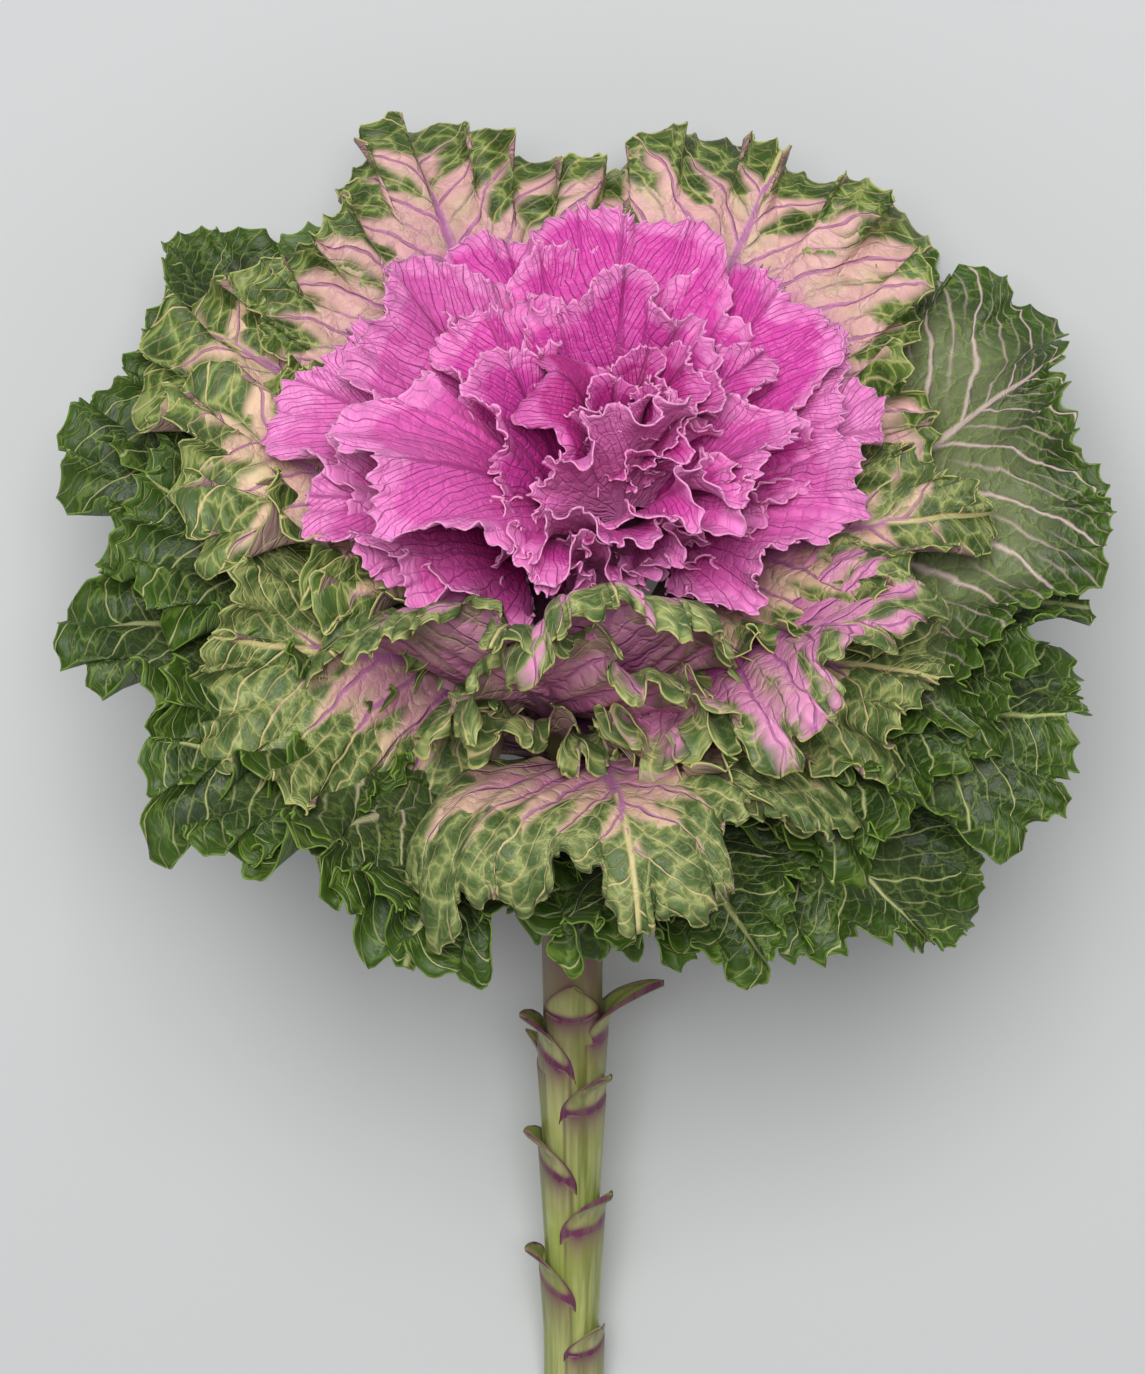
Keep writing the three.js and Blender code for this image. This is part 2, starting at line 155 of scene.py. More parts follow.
def sheet_quads(rows, columns):
    """A grid's faces, the same faces turned over for the underside, and the strip round the rim."""
    upper = grid_quads(rows, columns)
    count = rows * columns
    corner = np.arange(count).reshape(rows, columns)
    border = np.concatenate([corner[:-1, 0], corner[-1, :-1], corner[:0:-1, -1], corner[0, :0:-1]])
    after = np.roll(border, -1)
    rim = np.stack([border, border + count, after + count, after], -1)
    return np.concatenate([upper, upper[:, ::-1] + count, rim]).tolist()


def grid_normals(points):
    """Unit normals of a grid: the cross product of its two directions, each a central difference."""
    along = np.gradient(points, axis=0)
    across = np.gradient(points, axis=1)
    normals = np.cross(along, across)
    return normals / np.maximum(np.linalg.norm(normals, axis=-1, keepdims=True), SHORTEST)


print("helpers ready")

# %% [markdown]
# The leaf formula. A midrib curve leaves the core and arches to the tip. The blade is a fan round the
# midrib's lower end: an oval with lobes. It is cupped like a spoon across the midrib, its rim may roll
# back, and its margin is longer than the space it has, so it must ruffle. Ruffles are sums of waves which
# grow towards the margin: broad ones reach far in, fine ones only run along the edge. A sideways swing at
# twice the frequency makes the folds overhang, as real ones do. Bare numbers inside the sines only set
# where along the margin a wave falls.

# %% The flat leaf
SPREAD = radians(104)
GOLDEN_ANGLE = 2.39996
PETIOLE_ROWS = 4
ROW_CROWDING = 1.5
WAVE_DRIFT = 0.07
FOOT_CUT = 0.5
LOBE_DEPTH = 0.055
SLANT_DEPTH = 0.04


def fade_in(fan, start):
    """0 up to start, then rising evenly to 1 at the margin."""
    return np.clip((fan - start) / (1 - start), 0, 1)


def flat_leaf(leaf, length, rows, columns):
    """
    The leaf before it is bent: a grid of rho and side, and what follows from them alone.

    rho is -1 at the root, 0 where the petiole ends and 1 at the margin; side is -1 to 1 round the fan. A
    point of the flat leaf is rho times the outline's radius, at the angle side times SPREAD from the midrib.
    """
    phase = GOLDEN_ANGLE * leaf.number
    fan_rows = 1 - (1 - np.linspace(0, 1, rows - PETIOLE_ROWS)) ** ROW_CROWDING
    all_rows = np.concatenate([np.linspace(-1, 0, PETIOLE_ROWS + 1)[:-1], fan_rows])
    rho, side = np.meshgrid(all_rows, np.linspace(-1, 1, columns), indexing="ij")
    fan = np.clip(rho, 0, 1)
    angle = side * SPREAD
    wave = pi * leaf.waves * (side + WAVE_DRIFT * np.sin(3 * side + phase)) + phase
    lobe = pi * leaf.lobes * side + 1.9 * np.sin(2.6 * side + phase)
    lobe = lobe + 0.9 * np.sin(7.3 * side - 2 * phase)
    oval = (1 - FOOT_CUT * side ** 6) / np.hypot(np.sin(angle) / leaf.breadth, np.cos(angle))
    outline = 1 + LOBE_DEPTH * np.cos(wave + 1.2) + SLANT_DEPTH * np.sin(4 * side + 2 * phase)
    radius = (1 - leaf.petiole) * length * oval * outline
    petiole = leaf.half_width * side * (1 - fan) ** 2
    x = fan * radius * np.sin(angle) + petiole
    y = leaf.petiole * length * np.minimum(rho, 0) + fan * radius * np.cos(angle)
    return SimpleNamespace(phase=phase, rho=rho, side=side, fan=fan, angle=angle, wave=wave, lobe=lobe,
                           radius=radius, petiole=petiole, x=x, y=y)


print("flat leaf ready")

# %% Ruffles, notches and the rolled rim
SWELL = 0.3
RUFFLE_START = 0.4
RUFFLE_GROWTH = 1.8
FRILL_START = 0.64
FRILL_GROWTH = 1.4
HEM_START = 0.72
CRINKLE_START = 0.8
TOOTH_START = 0.9
ROLL_NUDGE = 1e-4


def notched_radius(leaf, flat):
    """The outline's radius, less the notches between its small lobes, and less the teeth."""
    side, phase = flat.side, flat.phase
    tooth = pi * leaf.teeth * side + 3 * np.sin(4.7 * side + phase)
    notch = leaf.sinus * (0.6 + 0.4 * np.sin(5.3 * side + 3 * phase))
    notch = notch * (1 - np.abs(np.sin(flat.lobe / 2))) * fade_in(flat.fan, FRILL_START) ** 1.5
    point = leaf.tooth * (0.7 + 0.3 * np.sin(11 * side + phase)) * np.abs(np.sin(tooth / 2))
    return flat.radius - notch - point * fade_in(flat.fan, TOOTH_START)


def ruffles(leaf, flat):
    """How far each point lifts off the leaf's plane, and how far it swings sideways in it."""
    side, phase, fan = flat.side, flat.phase, flat.fan
    crinkle = pi * leaf.crinkles * side + 2.3 * np.sin(3.1 * side - phase)
    crinkle = crinkle + 1.1 * np.sin(9 * side + phase)
    swell = 1 + SWELL * np.sin(2.9 * side + 3 * phase)
    broad = leaf.ruffle * swell * fade_in(fan, RUFFLE_START) ** RUFFLE_GROWTH
    fine = leaf.frill * (1 + 0.45 * np.sin(3.7 * side + 5 * phase))
    fine = fine * fade_in(fan, FRILL_START) ** FRILL_GROWTH
    tiny = leaf.crinkle * fade_in(fan, CRINKLE_START) ** 1.5
    hem = 0.5 * fade_in(fan, HEM_START) * np.sin(flat.lobe + 1)
    lift = broad * np.sin(flat.wave) + fine * (0.8 * np.sin(flat.lobe / 2) + hem) + tiny * np.sin(crinkle)
    swing = -0.25 * broad * np.sin(2 * flat.wave + 0.4) - 0.4 * fine * np.sin(flat.lobe)
    return lift, swing - 0.45 * tiny * np.sin(2 * crinkle)


def rolled_rim(leaf, flat):
    """
    How far along the blade and how far behind it a point lies, as shares of the radius.

    Beyond the roll's start the blade goes on along an arc of a circle, as long as the flat blade was.
    """
    start = leaf.roll_start
    roll = radians(leaf.roll) * (1 + SWELL * np.sin(2.3 * flat.side + 2 * flat.phase)) + ROLL_NUDGE
    rolled = fade_in(flat.fan, start) * roll
    along = np.minimum(flat.fan, start) + (1 - start) * np.sin(rolled) / roll
    return along, -(1 - start) * (1 - np.cos(rolled)) / roll


print("ruffles ready")

# %% The leaf bent along its midrib
CORE_LEAN = 0.2
KNEE = 0.5
TWIST = radians(20)
TWIST_GROWTH = 3
CUP_FADE = 0.4
CUP_NUDGE = 1e-7
CURVE_POINTS = 65


def midrib_curve(leaf):
    """Three control points of a quadratic curve: the root on the core, a knee up the rise angle, the tip."""
    turn = radians(leaf.azimuth)
    tip = np.array([leaf.reach * cos(turn), leaf.reach * sin(turn), leaf.tip])
    middle = np.array([CORE_LEAN * max(0, leaf.root), 0, leaf.root])
    heading = atan2(tip[1] - middle[1], tip[0] - middle[0])
    out = np.array([cos(heading), sin(heading), 0])
    root = middle + leaf.root_radius * out
    climb = cos(radians(leaf.rise)) * out + sin(radians(leaf.rise)) * np.array([0, 0, 1])
    knee = root + KNEE * np.linalg.norm(tip - root) * climb
    return root, knee, tip, heading


def on_curve(share, root, knee, tip):
    """A point of the quadratic curve: its control points, weighted by powers of share and 1 - share."""
    return (1 - share) ** 2 * root + 2 * share * (1 - share) * knee + share ** 2 * tip


def unit(vectors):
    """The same directions, one long."""
    return vectors / np.linalg.norm(vectors, axis=-1, keepdims=True)


def leaf_surface(leaf, rows, columns):
    """
    The middle surface of one leaf as a grid of points, with the flat leaf that it was made from.

    The flat leaf's height becomes a share of the midrib curve. Across the midrib a point goes round a circle
    whose curvature is the cup, and the cross direction turns about the midrib by the twist.
    """
    root, knee, tip, heading = midrib_curve(leaf)
    curve = on_curve(np.linspace(0, 1, CURVE_POINTS)[:, None], root, knee, tip)
    length = np.linalg.norm(np.diff(curve, axis=0), axis=1).sum()
    flat = flat_leaf(leaf, length, rows, columns)
    radius = notched_radius(leaf, flat)
    along, behind = rolled_rim(leaf, flat)
    lift, swing = ruffles(leaf, flat)
    side_vein = (flat.y - leaf.vein_slope * np.abs(flat.x)) / leaf.vein_spacing
    puff = leaf.puff * np.cos(2 * pi * side_vein) * np.clip(3 * flat.fan * (1 - flat.fan) + 0.2, 0, 1)
    lift = lift + behind * flat.radius - puff
    width = along * radius * np.sin(flat.angle) + swing * np.cos(flat.angle) + flat.petiole
    reach = along * radius * np.cos(flat.angle) - swing * np.sin(flat.angle)
    reach = reach + leaf.petiole * length * (1 + np.minimum(flat.rho, 0))

    share = (reach / length)[..., None]
    on_rib = np.clip(share, 0, 1)
    tangent = unit((1 - on_rib) * (knee - root) + on_rib * (tip - knee))
    middle = on_curve(on_rib, root, knee, tip) + (share - on_rib) * length * tangent
    upward = unit(np.cross(tangent, [-sin(heading), cos(heading), 0]))
    sideways = np.cross(upward, tangent)
    turn = (TWIST * cos(heading) + radians(leaf.twist)) * np.minimum(1, TWIST_GROWTH * on_rib)
    turned_side = sideways * np.cos(turn) + upward * np.sin(turn)
    turned_up = upward * np.cos(turn) - sideways * np.sin(turn)
    cupping = leaf.cup / length * (1 - CUP_FADE * on_rib[..., 0]) + CUP_NUDGE
    bend = cupping * width
    points = middle + turned_side * (np.sin(bend) / cupping - lift * np.sin(bend))[..., None]
    points = points + turned_up * ((1 - np.cos(bend)) / cupping + lift * np.cos(bend))[..., None]
    return points, flat


print("one formula for every leaf")

# %% [markdown]
# A blade is a third of a millimetre thick at its margin and thicker towards the root. Below it the midrib
# stands out as a rib, thick at the root and gone at the tip. Where the blade would sink into the table it is
# pressed flat on it, face by face, so that the leaf lies on the table instead of in it.

# %% Thickness, and the leaf as a closed piece
MARGIN_THICKNESS = 0.3
ROOT_THICKENING = 0.9
PRESSED_THICKNESS = 0.9
RIB_ROOT_WIDTH = 0.75
RIB_NARROWING = 0.55
UV_MM = 100.0
TONE_STEP = 0.618


def build_leaf(name, leaf, node, slot, rows, columns):
    """The middle surface moved half a thickness each way, the rib added below, and the rim closed."""
    points, flat = leaf_surface(leaf, rows, columns)
    taper = np.clip((flat.rho + 1) / 2, 0, 1)
    thickness = MARGIN_THICKNESS + ROOT_THICKENING * (1 - taper) ** 2
    rib_width = leaf.half_width * (RIB_ROOT_WIDTH - RIB_NARROWING * taper)
    rib = leaf.rib * (1 - taper) ** 1.2 * np.exp(-(flat.x / rib_width) ** 2)
    row_points = tip_over(points) + SHIFT
    normals = grid_normals(row_points)
    upper = row_points + normals * (thickness / 2)[..., None]
    lower = row_points - normals * (thickness / 2 + rib)[..., None]
    for face, other in ((upper, lower), (lower, upper)):
        sunk = face[..., 2] < 0
        face[..., 2] = np.where(sunk, 0, face[..., 2])
        other[..., 2] = np.where(sunk, np.maximum(other[..., 2], PRESSED_THICKNESS), other[..., 2])
    from_margin = (1 - flat.fan) * flat.radius
    uv = np.stack([flat.x, flat.y], axis=-1) / UV_MM
    marks = {
        "margin": np.stack([from_margin, from_margin]),
        "under": np.stack([np.zeros_like(flat.rho), np.ones_like(flat.rho)]),
        "rho": np.stack([flat.rho, flat.rho]),
    }
    front = np.clip(0.5 - sin(radians(leaf.azimuth)), 0, 1)
    for mark, value in {"tone": leaf.number * TONE_STEP % 1, "front": front, "pink": leaf.pink}.items():
        marks[mark] = np.full_like(marks["rho"], value)
    faces = np.stack([upper, lower]) * MM
    return make_piece(name, faces, sheet_quads(rows, columns), node, np.stack([uv, uv]), marks)


print("leaf pieces ready")

# %% [markdown]
# The head is four whorls, each with its own habit, and one row for each leaf. The rows were chosen
# leaf by leaf, so that each tip lies where the photograph shows it: the azimuth round the stalk, how far
# out the tip lies, how high, where on the core the leaf starts, and how it rises and cups.

# %% The leaves, one row each
COLUMNS = ("azimuth", "reach", "tip", "root", "rise", "breadth", "cup", "waves", "roll")
# What the leaves of one whorl share; OWN_PINK and OWN_HABIT change it for single leaves.
HABIT = ("petiole", "half_width", "root_radius", "ruffle", "frill", "lobes", "sinus", "crinkle",
         "crinkles", "tooth", "teeth", "puff", "vein_slope", "vein_spacing", "rib")
WHORLS = {
    "green": (0.34, 4.5, 6, 6, 4.8, 25, 4.5, 1.0, 45, 2.4, 92, 0.8, 0.9, 12, 3.0),
    "variegated": (0.28, 4.5, 6, 6, 5, 26, 4.2, 1.1, 46, 2.4, 90, 0.8, 1.1, 11, 2.8),
    "magenta": (0.26, 4, 5, 3, 2.6, 19, 2.8, 0.9, 37, 1.8, 80, 0.3, 2.2, 8, 2.0),
    "heart": (0.2, 2.5, 1.8, 2, 1.5, 11, 1.8, 0.4, 25, 1.1, 44, 0.0, 2.2, 6, 1.0),
}
LEAVES = {
    "green": [
        (17, 117, 68, -8, 40, 0.7, 0.5, 4.5), (357, 111, 30, -10, 35, 0.6, 0.2, 4.5),
        (345, 113, 5, -14, 30, 0.56, -0.3, 5), (325, 95, -31, -16, 25, 0.6, 0.2, 5),
        (299, 82, -20, -16, 15, 0.6, -0.3, 4.5), (282, 76, -17, -18, 15, 0.55, -0.2, 4.5),
        (244, 80, -16, -16, 18, 0.55, 0.1, 5), (225, 88, -3, -18, 20, 0.55, -0.2, 4.5),
        (204, 102, 7, -14, 26, 0.6, -0.3, 5), (183, 110, 24, -12, 32, 0.66, 0.2, 5),
        (174, 98, 44, -6, 42, 0.52, -0.2, 4.5), (161, 111, 52, -10, 36, 0.42, 0.3, 5),
        (145, 107, 76, -10, 38, 0.58, 0.3, 5), (115, 117, 67, -14, 14, 0.55, 0.1, 5),
        (89, 109, 71, -12, 14, 0.48, 0.1, 5), (59, 122, 60, -14, 14, 0.55, 0.1, 5),
        (38, 106, 60, -15, 26, 0.5, 0.2, 5),
    ],
    "variegated": [
        (115, 86, 100, 6, 58, 0.62, 0.6, 5), (58, 90, 95, 4, 56, 0.66, 0.5, 5),
        (153, 94, 72, 4, 52, 0.48, 1.0, 5), (171, 91, 60, 8, 56, 0.45, 1.1, 6),
        (198, 86, 27, -2, 34, 0.8, -0.3, 4.5), (256, 48, 60, -1, 22, 0.95, 0.8, 6),
        (279, 50, 69, 2, 22, 0.58, 0.9, 5), (328, 76, 46, 8, 25, 0.75, 0.9, 6),
        (355, 88, 50, 6, 55, 0.5, 0.8, 6), (337, 89, 25, 2, 30, 0.5, 0.1, 6),
        (279, 84, 22, -2, 12, 1.1, 0.5, 3.5), (86, 84, 83, 3, 52, 0.45, 0.5, 5),
        (305, 74, 10, 0, 18, 0.42, 0.4, 6), (252, 44, 28, -1, 5, 0.7, 0.8, 5),
    ],
    "magenta": [
        (78, 51, 92, 26, 72, 0.6, 1, 6), (107, 48, 86, 24, 70, 0.55, 0.8, 6),
        (140, 52, 85, 24, 70, 0.55, 0.8, 6), (164, 67, 68, 22, 62, 0.6, 0.8, 6),
        (192, 58, 57, 21, 62, 0.6, 0.5, 6), (210, 52, 71, 30, 85, 0.62, 0.3, 6),
        (160, 17, 82, 34, 80, 0.6, 1.2, 6), (61, 23, 93, 34, 82, 0.6, 1, 6),
        (130, 34, 81, 30, 75, 0.55, 1, 6), (308, 25, 82, 36, 88, 0.62, 1, 6),
        (308, 42, 69, 30, 80, 0.55, 0.4, 6), (248, 38, 60, 26, 78, 0.55, 0.6, 6),
        (7, 68, 63, 24, 66, 0.6, 0.6, 6), (36, 58, 81, 26, 72, 0.6, 0.8, 6),
        (20, 63, 71, 24, 70, 0.55, 0.8, 6), (19, 43, 76, 36, 82, 0.55, 1, 6),
        (341, 50, 72, 30, 78, 0.55, 0.5, 6), (281, 42, 65, 26, 80, 0.55, 0.7, 6),
    ],
    "heart": [
        (161, 6, 83, 50, 85, 0.55, 1.2, 5, 60), (14, 8, 78, 54, 88, 0.55, 1.4, 5),
        (26, 18, 81, 54, 88, 0.55, 1.4, 5), (9, 27, 81, 54, 88, 0.55, 1.4, 5),
        (349, 31, 76, 52, 88, 0.55, 1.4, 5), (330, 28, 71, 50, 88, 0.55, 1.2, 5),
        (292, 15, 77, 50, 88, 0.55, 1.2, 5), (353, 16, 77, 58, 88, 0.5, 1.6, 4),
        (9, 19, 76, 58, 88, 0.5, 1.6, 4),
    ],
}
PLAIN = {"roll": 0, "roll_start": 0.6, "twist": 0, "pink": 0.2}
OWN_PINK = {
    "green": {1: 1.0},
    "variegated": {1: 0.45, 2: 0.45, 5: -0.9, 6: 1.0, 7: 1.0, 8: 1.5, 10: -0.8, 13: -1.0},
    "magenta": {3: 0.6, 4: 0.9, 5: 0.7, 6: 0.6, 13: 0.8, 15: 0.7, 17: 0.5},
}
OWN_HABIT = {
    "variegated_leaf_05": dict(twist=-30),
    "variegated_leaf_06": dict(roll=110, roll_start=0.75, frill=3.4, sinus=3, tooth=1.6),
    "variegated_leaf_07": dict(roll=100, roll_start=0.75, frill=3.4, sinus=3, tooth=1.6),
    "variegated_leaf_08": dict(roll=60, roll_start=0.75),
    "variegated_leaf_10": dict(twist=15),
    "variegated_leaf_11": dict(petiole=0.36, roll=80, roll_start=0.5, lobes=17, sinus=6, frill=3.5),
    "variegated_leaf_13": dict(petiole=0.38),
    "variegated_leaf_14": dict(roll=100, roll_start=0.7, frill=3.4, sinus=3),
}
FINENESS = {"green": (16, 580), "variegated": (16, 580), "magenta": (16, 460), "heart": (14, 260)}

pieces = {}
number = 0
for kind, rows in LEAVES.items():
    pieces[kind] = []
    for index, row in enumerate(rows, start=1):
        number += 1
        name = f"{kind}_leaf_{index:02d}"
        habit = {**dict(zip(HABIT, WHORLS[kind])), **PLAIN, **OWN_HABIT.get(name, {})}
        habit["pink"] = OWN_PINK.get(kind, {}).get(index, PLAIN["pink"])
        leaf = SimpleNamespace(**{**habit, **dict(zip(COLUMNS, row)), "number": number})
        piece = build_leaf(name, leaf, f"{kind}_leaves", f"{kind}_leaf", *FINENESS[kind])
        pieces[kind].append(piece)
    print(kind, len(rows), "leaves of", len(pieces[kind][0].data.polygons) * 2, "triangles each")

# %% [markdown]
# The stalk is a profile turned round the plant's axis. Its surface isn't smooth: every shed leaf has left a
# raised sheath that ends in a purple ledge, and a torn stub above it. A stub is a tube too, with a crescent
# for its section, so one helper closes rings of points for both. The core carries on up inside the head.

# %% Stalk and core
RING = 130
STALK_STATIONS = 420
CORE_STATIONS = 60
STALK_TOP = -22
CORE_FOOT = -21
CORE_TOP = 60
CORE_PURPLE = 0.6


def tube_piece(name, points, node, marks):
    """Rings of points, closed round and capped at both ends; the lowest points rest on the table."""
    rows, ring = points.shape[:2]
    corner = np.arange(rows * ring).reshape(rows, ring)
    after = np.roll(corner, -1, axis=1)
    quads = np.stack([corner[:-1], after[:-1], after[1:], corner[1:]], -1).reshape(-1, 4).tolist()
    caps = [corner[0, ::-1].tolist(), corner[-1].tolist()]
    row_points = to_row(points)
    row_points[..., 2] = np.maximum(row_points[..., 2], 0)
    return make_piece(name, row_points, quads + caps, node, None, marks)


def turned_rings(heights, radii, relief=0.0):
    """A profile turned round the axis, which leans with the head: radius against height, plus a relief."""
    angle = np.linspace(0, 2 * pi, RING, endpoint=False)
    height, turn = np.meshgrid(heights, angle, indexing="ij")
    radius = np.asarray(radii)[:, None] + relief
    lean = CORE_LEAN * np.maximum(0, height)
    return np.stack([radius * np.cos(turn) + lean, radius * np.sin(turn), height], axis=-1)


# Azimuth, height of the ledge, length, width and lean of each stub, and how its ledge slants.
STUBS = [
    (214, -98, 15, 13, 34, -4), (165, -104, 8, 8, 40, 0), (268, -86, 10, 13, 12, 0),
    (345, -94, 20, 13, 50, 0), (307, -113, 15, 13, 36, 1), (216, -131, 14, 13, 34, -4),
    (308, -149, 16, 13, 34, 1), (214, -167, 14, 13, 32, -4), (310, -187, 10, 12, 30, 1),
]
SHEATH_LENGTH = 34.0
SHEATH_HEIGHT = 1.6
SHEATH_REACH = 0.95
LEDGE_STEP = 0.8
LEDGE_CURVE = 0.8
LEDGE_LINE = 0.7
FLUSH_LENGTH = 7.0
SEAM_WIDTH = 0.07
SEAM_LENGTH = 12.0
PURPLE_FROM, PURPLE_OVER, PURPLE_MOST = -118, 55, 0.9


def sheaths(heights):
    """
    The sheaths' relief and how purple the skin is, over the stalk's height and turn.

    Each sheath is a plateau in turn, an eighth-power bell, and fades from its ledge down the stalk. The
    ledge is a steep step, and curves up at both ends. Purple is a line at the ledge, a flush below it and a
    seam down each side.
    """
    height, turn = np.meshgrid(heights, np.linspace(0, 2 * pi, RING, endpoint=False), indexing="ij")
    relief = 0.1 * np.sin(7 * turn + 0.04 * height)
    purple = np.clip((height - PURPLE_FROM) / PURPLE_OVER, 0, 1) * PURPLE_MOST
    for azimuth, notch, *_, slant in STUBS:
        apart = ((turn - radians(azimuth) + pi) % (2 * pi) - pi) / SHEATH_REACH
        below = notch + slant * apart + LEDGE_CURVE * apart ** 2 - height
        deep = np.maximum(below, 0)
        across = np.exp(-apart ** 8)
        step = np.clip(1 + below / LEDGE_STEP, 0, 1) * across
        relief = np.maximum(relief, SHEATH_HEIGHT * np.clip(1 - below / SHEATH_LENGTH, 0, 1) * step)
        line = np.exp(-((below - 0.2) / LEDGE_LINE) ** 2)
        flush = 0.95 * np.exp(-deep / FLUSH_LENGTH) * (below > 0)
        seam = np.exp(-((np.abs(apart) - 0.95) / SEAM_WIDTH) ** 2 - deep / SEAM_LENGTH) * (below > 0)
        purple = np.maximum(purple, np.maximum(across * np.maximum(line, flush), seam))
    return relief, purple


heights = np.linspace(STALK_FOOT, STALK_TOP, STALK_STATIONS)
radii = np.interp(heights, [STALK_FOOT, -185, -120, -60, STALK_TOP], [6.9, 6.3, 6.5, 6.9, 8.0])
relief, purple = sheaths(heights)
stalk_marks = {"purple": purple, "inner": np.zeros_like(purple)}
stalk = tube_piece("stalk", turned_rings(heights, radii, relief), "stem", stalk_marks)
core_heights = np.linspace(CORE_FOOT, CORE_TOP, CORE_STATIONS)
core_radii = np.interp(core_heights, [CORE_FOOT, -2, 17, 48, CORE_TOP], [8.6, 8.4, 7.6, 4, 2])
core_purple = np.full((CORE_STATIONS, RING), CORE_PURPLE)
core_marks = {"purple": core_purple, "inner": np.zeros_like(core_purple)}
core = tube_piece("core", turned_rings(core_heights, core_radii), "green_leaves", core_marks)
print("stalk", len(stalk.data.polygons), "faces, core", len(core.data.polygons))

# %% [markdown]
# A stub is what is left of a leaf stalk: a scoop, rounded outside and hollow inside, whose thin lips run up
# to a torn point. Its lips and ledge are purple and its hollow is pale green.

# %% Stubs of shed leaves
STUB_RING = 40
STUB_STATIONS = 36
STUB_BURIED = 0.2
STUB_ROOTING = 1.2
STUB_DEPTH = 3.4
STUB_WRAP = 0.055
STUB_LAG = 0.6


def stub_rings(azimuth, notch, length, width, lean, slant):
    """
    Rings from the buried foot (share -0.2) to the torn tip (share 1), with purple and hollow marks.

    A ring is a crescent: x is the cosine of the way round, the outer side bulges by its sine, and the inner
    side is pulled outwards in the middle. Its width tapers to the tip, and its middle line bows outwards.
    """
    shares = np.linspace(-STUB_BURIED, 1, STUB_STATIONS)
    share, way = np.meshgrid(shares, np.linspace(0, 2 * pi, STUB_RING, endpoint=False), indexing="ij")
    turn = radians(azimuth)
    out = np.array([cos(turn), sin(turn), 0])
    across = np.array([-sin(turn), cos(turn), 0])
    up_share = np.maximum(0, share)
    broad = 1 - 0.95 * up_share ** 1.9
    side = np.cos(way)
    outer = np.sin(way) > 0
    bulge = np.where(outer, 0.75 * np.sin(way), 0.35 * (1 - side ** 2) * (share > 0.1))
    bow = radians(lean) * up_share
    torn = 0.14 * up_share ** 3 * np.sin(3 * way + azimuth) + 0.07 * up_share * np.sin(7 * way)
    tilt = slant * side * width / 2 / STALK_RADIUS * (1 - up_share)
    rise = length * (share * np.cos(STUB_LAG * bow) + torn * np.sqrt(broad)) + tilt
    stand = STALK_RADIUS - STUB_ROOTING + up_share * length * np.sin(bow)
    wrap = side * width / 2 * broad
    sunk = STUB_WRAP * wrap ** 2 * np.clip(1 - share, 0, 1)
    depth = STUB_DEPTH * (1 - 0.9 * up_share) * np.clip(1 + share / STUB_BURIED, 0, 1)
    points = out * (stand - sunk + bulge * depth)[..., None] + across * wrap[..., None]
    points = points + np.array([0, 0, 1]) * (notch + rise)[..., None]
    ledge = np.exp(-((share - 0.05) / 0.1) ** 2) * outer
    lips = np.abs(side) ** 20
    purple = np.clip(lips + ledge + 0.4 * up_share ** 3 + 0.25 * outer, 0, 1)
    hollow = (~outer & (share > 0.05)).astype(float)
    return points[:, ::-1], purple[:, ::-1], hollow[:, ::-1]


stubs = []
for index, row in enumerate(STUBS):
    points, purple, hollow = stub_rings(*row)
    marks = {"purple": purple, "inner": hollow}
    stubs.append(tube_piece(f"stub_{index + 1}", points, "stem", marks))
print(len(stubs), "stubs of", len(stubs[0].data.polygons), "faces")

# %% [markdown]
# A material is a graph of small nodes, and written out in full it hides its own idea. A short hand keeps
# the idea in sight: each call adds one node, links or sets its inputs, and hands back its output.

# %% A short hand for node graphs


